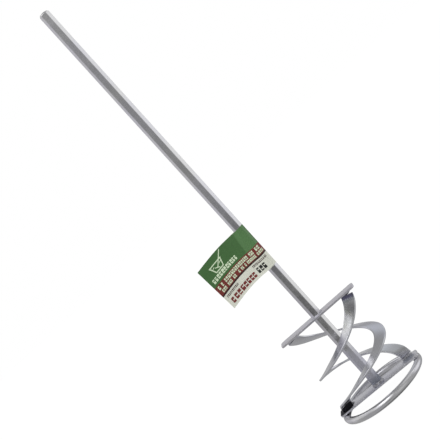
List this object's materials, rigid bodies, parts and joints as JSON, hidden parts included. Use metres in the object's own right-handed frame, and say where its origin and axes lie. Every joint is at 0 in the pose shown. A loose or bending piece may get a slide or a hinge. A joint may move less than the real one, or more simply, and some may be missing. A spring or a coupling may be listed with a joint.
{
  "type": "mortar mixing paddle",
  "caption": "Hex-shank drill paddle for mixing mortar: a long hexagonal shaft carrying helical strips between crossbars, a round wire foot ring and a folded paper tag.",
  "frame": {"origin": "centre of the shank's flat end face, on the shaft's axis", "axes": "+Z along the shaft, out of the shank's end face and away from the mixing head; the lower crossbar lies along X"},
  "size_m": [0.0913, 0.08, 0.4],
  "materials": {
    "zinc_steel": "bright zinc plate with a slight blue-grey tint, faint drawing marks",
    "weld_metal": "weld metal under the zinc plate, mottled and darker",
    "label_paper": "printed and varnished, semi-gloss"
  },
  "bodies": {
    "root": {"hex_shaft": "zinc_steel", "top_crossbar": "zinc_steel", "bottom_crossbar": "zinc_steel", "base_ring": "zinc_steel", "helical_blade_a": "zinc_steel", "helical_blade_b": "zinc_steel", "weld_shaft_top": "weld_metal", "weld_shaft_bottom": "weld_metal", "weld_blade_a_top": "weld_metal", "weld_blade_a_bottom": "weld_metal", "weld_blade_b_top": "weld_metal", "weld_blade_b_bottom": "weld_metal", "weld_bar_ring_a": "weld_metal", "weld_bar_ring_b": "weld_metal", "paper_label": "label_paper"}
  },
  "joints": []
}
